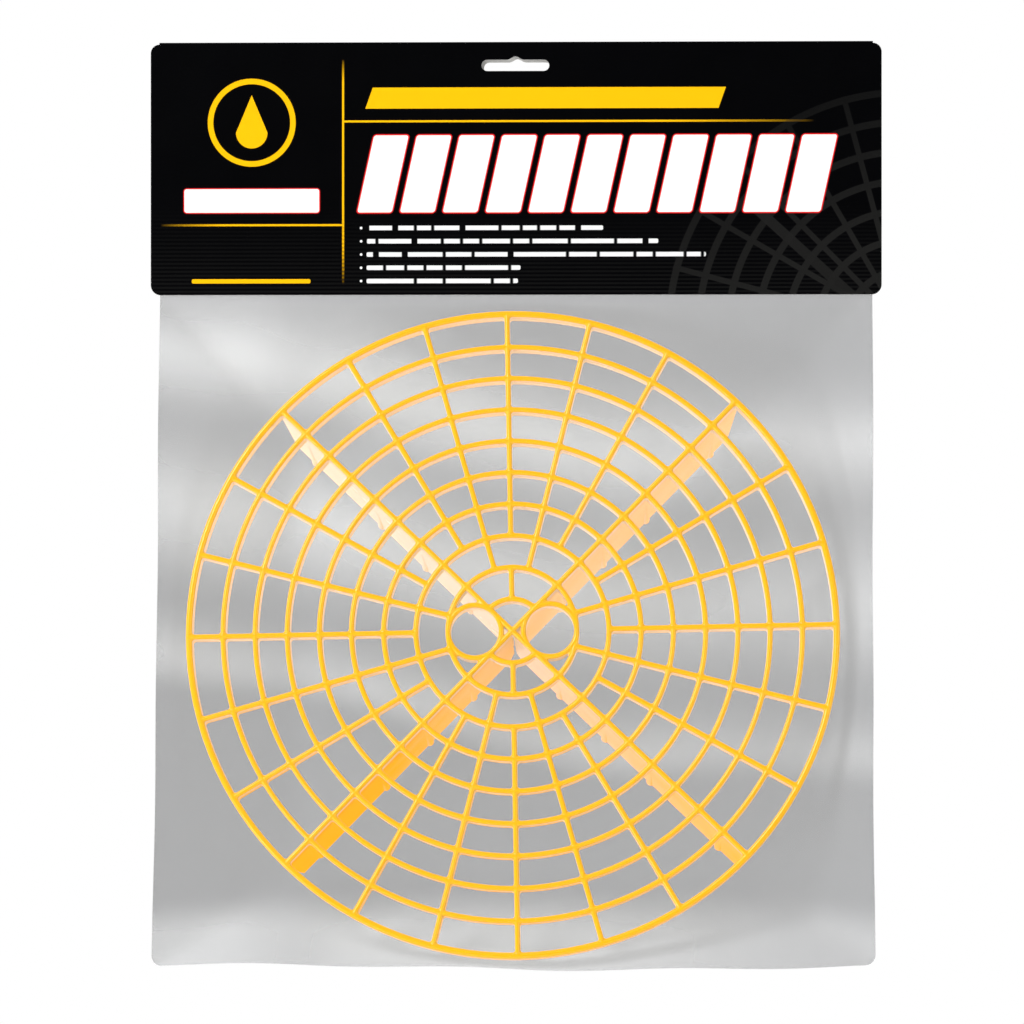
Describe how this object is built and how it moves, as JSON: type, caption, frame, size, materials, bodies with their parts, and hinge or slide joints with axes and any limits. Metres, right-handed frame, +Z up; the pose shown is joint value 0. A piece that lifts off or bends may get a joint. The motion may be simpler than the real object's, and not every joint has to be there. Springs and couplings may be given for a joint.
{
  "type": "wash bucket insert",
  "caption": "Hang-packed dirt trap insert for a wash bucket: round ribbed grid on crossed vanes, in a clear gusseted bag under a folded header card.",
  "frame": {"origin": "top of the hang slot, where a shop peg bears, midway between the two leaves of the header card", "axes": "+Z up as it hangs, -Y out of the front of the pack, +X to the right of a person facing it"},
  "size_m": [0.292, 0.1028, 0.3651],
  "materials": {
    "header_print": "satin",
    "header_board": "satin",
    "glue": "satin",
    "film": "gloss",
    "moulding": "satin"
  },
  "bodies": {
    "header": {"header_back_leaf": "header_board", "glue_strip_back": "glue"},
    "front_leaf": {"header_front_leaf": "header_print", "glue_strip_front": "glue"},
    "bag": {"bag_front_panel": "film", "bag_back_panel": "film"},
    "insert": {"insert_rim": "moulding", "insert_hub_grille": "moulding", "insert_grid_top": "moulding", "insert_grid_right": "moulding", "insert_grid_bottom": "moulding", "insert_grid_left": "moulding", "insert_vane_ne": "moulding", "insert_vane_nw": "moulding", "insert_vane_sw": "moulding", "insert_vane_se": "moulding"}
  },
  "joints": [
    {"name": "front_leaf_fold", "type": "hinge", "parent": "header", "child": "front_leaf", "pos_m": [0, -0.00115, 0.0051], "axis": [-1, 0, 0], "range_deg": [0, 170]},
    {"name": "bag_pull", "type": "slide", "parent": "header", "child": "bag", "axis": [0, 0, -1], "range_m": [0, 0.76]},
    {"name": "insert_pull", "type": "slide", "parent": "bag", "child": "insert", "axis": [0, 0.1719, 0.9851], "range_m": [0, 0.38], "deforming": ["bag_front_panel", "bag_back_panel"]}
  ],
  "couplings": [
    {"joint": "insert_pull", "follows": "bag_pull", "ratio": 0.5}
  ]
}
